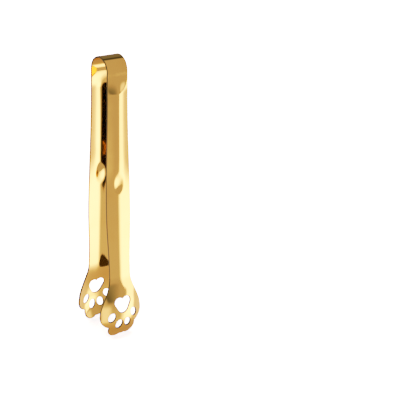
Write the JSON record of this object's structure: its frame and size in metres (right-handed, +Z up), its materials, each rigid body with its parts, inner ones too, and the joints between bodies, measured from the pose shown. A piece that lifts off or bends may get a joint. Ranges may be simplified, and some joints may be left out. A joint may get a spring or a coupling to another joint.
{
  "type": "ice tongs",
  "caption": "One-piece sprung ice tongs: a flat half-round bow, two channelled arms with thumb dimples, and dished paw-shaped jaws pierced with a heart and toe ovals.",
  "frame": {"origin": "on the centre line between the arms, level with the tips of the paws", "axes": "+Z up the tongs from the paws to the bow, X across the width of the strip, Y the way the arms open, with the front arm on the -Y side"},
  "size_m": [0.0278, 0.03, 0.16],
  "materials": {
    "spring_gold": "polished gold-coloured coating on stainless spring strip",
    "arm_gold": "polished gold-coloured coating on pressed stainless steel",
    "paw_gold": "polished gold-coloured coating on pierced and dished stainless steel"
  },
  "bodies": {
    "bow": {"spring_bow": "spring_gold"},
    "front": {"front_arm": "arm_gold", "front_paw": "paw_gold"},
    "rear": {"rear_arm": "arm_gold", "rear_paw": "paw_gold"}
  },
  "joints": [
    {"name": "front_squeeze", "type": "hinge", "parent": "bow", "child": "front", "pos_m": [0, -0.0051, 0.1562], "axis": [1, 0, 0], "range_deg": [0, 4], "stiffness_Nm_per_rad": 3.5},
    {"name": "rear_squeeze", "type": "hinge", "parent": "bow", "child": "rear", "pos_m": [0, 0.0051, 0.1562], "axis": [-1, 0, 0], "range_deg": [0, 4], "stiffness_Nm_per_rad": 3.5}
  ]
}
